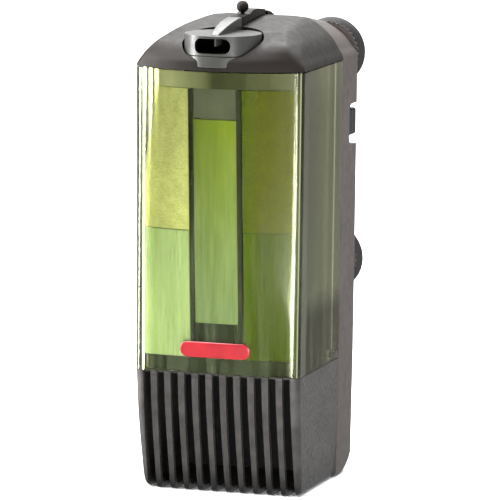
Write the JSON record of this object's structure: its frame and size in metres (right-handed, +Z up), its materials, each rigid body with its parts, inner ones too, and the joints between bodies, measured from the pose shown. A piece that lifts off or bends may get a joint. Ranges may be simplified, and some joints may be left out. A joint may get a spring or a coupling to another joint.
{
  "type": "internal aquarium filter",
  "caption": "Internal power filter: clear green canister with foam cartridge on a slotted intake base, pump head with swivelling outlet nozzle and flow lever, rear holder with suction cups.",
  "frame": {"origin": "centre of the filter's footprint, at the base", "axes": "+Z up, +Y towards the aquarium glass behind the suction cups, -Y out of the nozzle, +X to the right seen from the front"},
  "size_m": [0.092, 0.1168, 0.2503],
  "materials": {
    "head": "fine matt texture",
    "holder": "fine matt texture",
    "grille": "leathery texture",
    "nozzle": "satin",
    "canister": "clear green, glossy",
    "sponge": "open-cell foam",
    "frame": "dark green, satin",
    "motor": "matt",
    "rubber": "matt",
    "badge": "gloss",
    "steel": "brushed",
    "copper": "enamelled wire",
    "ceramic": "ground ceramic",
    "magnet": "sintered ferrite"
  },
  "bodies": {
    "holder_and_pump": {"pump_head_cover": "head", "lever_end_cap": "head", "back_plate": "holder", "cup_holder_upper_left": "holder", "cup_holder_upper_right": "holder", "cup_holder_lower_left": "holder", "cup_holder_lower_right": "holder", "nozzle_cup": "nozzle", "motor_housing": "motor", "motor_lid": "motor", "impeller_cover": "motor", "suction_cup_upper_left": "rubber", "suction_cup_upper_right": "rubber", "suction_cup_lower_left": "rubber", "suction_cup_lower_right": "rubber", "cable_gland": "rubber", "motor_lead": "rubber", "nozzle_seal": "rubber", "stator_core": "steel", "motor_screw_1": "steel", "motor_screw_2": "steel", "motor_screw_3": "steel", "motor_screw_4": "steel", "coil": "copper", "shaft_bush_upper": "ceramic", "shaft_bush_lower": "ceramic"},
    "nozzle": {"outlet_nozzle": "nozzle"},
    "regulator": {"regulator_lever": "head", "lever_knob": "head", "lever_pivot_pin": "steel", "flow_shutter": "motor"},
    "rotor": {"rotor_magnet": "magnet", "impeller_shaft": "ceramic", "impeller": "nozzle"},
    "canister_unit": {"canister": "canister", "canister_rim": "frame", "intake_grille": "grille", "sponge_rest": "frame", "lower_sponge": "sponge", "upper_sponge": "sponge", "cartridge_frame": "frame", "badge": "badge"},
    "latch_left": {"canister_latch_left": "grille"},
    "latch_right": {"canister_latch_right": "grille"}
  },
  "joints": [
    {"name": "nozzle_swivel", "type": "hinge", "parent": "holder_and_pump", "child": "nozzle", "pos_m": [0, -0.03885, 0.2265], "axis": [0, 0, 1], "range_deg": [-30, 30]},
    {"name": "regulator_swing", "type": "hinge", "parent": "holder_and_pump", "child": "regulator", "pos_m": [0, 0.01645, 0.2405], "axis": [0, 0, 1], "range_deg": [-12, 12]},
    {"name": "rotor_spin", "type": "hinge", "parent": "holder_and_pump", "child": "rotor", "pos_m": [0, -0.03885, 0.2085], "axis": [0, 0, 1], "continuous": true},
    {"name": "canister_pull", "type": "slide", "parent": "holder_and_pump", "child": "canister_unit", "axis": [0, -1, 0], "range_m": [0, 0.06]},
    {"name": "latch_left_press", "type": "slide", "parent": "canister_unit", "child": "latch_left", "axis": [1, 0, 0], "range_m": [0, 0.0012], "stiffness_N_per_m": 1500, "springref_m": -0.001},
    {"name": "latch_right_press", "type": "slide", "parent": "canister_unit", "child": "latch_right", "axis": [-1, 0, 0], "range_m": [0, 0.0012], "stiffness_N_per_m": 1500, "springref_m": -0.001}
  ]
}
